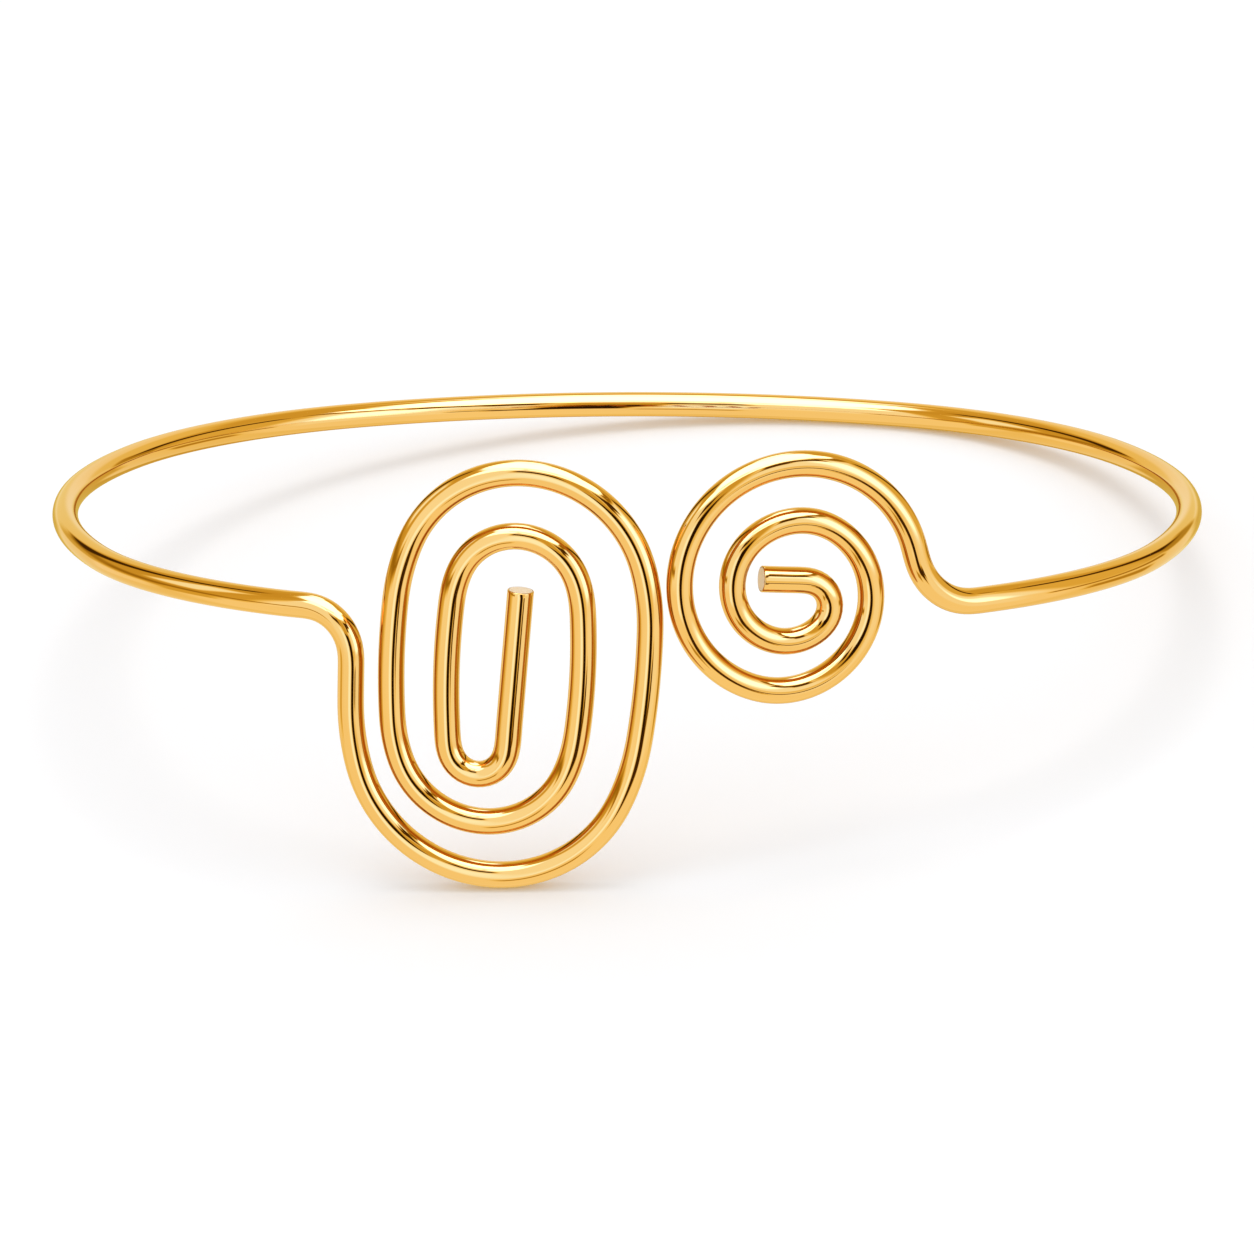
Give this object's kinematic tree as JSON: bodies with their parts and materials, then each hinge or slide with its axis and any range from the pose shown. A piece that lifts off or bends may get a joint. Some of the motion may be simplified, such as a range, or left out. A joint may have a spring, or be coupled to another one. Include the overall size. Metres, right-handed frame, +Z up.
{
  "type": "upper arm bangle",
  "caption": "Open upper-arm bangle bent from one round gold-coloured wire, with an oblong coil and a round coil side by side at the front.",
  "frame": {"origin": "on the surface that the bangle rests on, under the middle of its bounding box", "axes": "+Z up from the surface, +X to the right of a viewer who faces the coils, +Y from the coils at the front to the back of the hoop"},
  "size_m": [0.0898, 0.0882, 0.0328],
  "materials": {
    "gold_wire": "polished gold plate"
  },
  "bodies": {
    "root": {"bangle_wire": "gold_wire"}
  },
  "joints": []
}
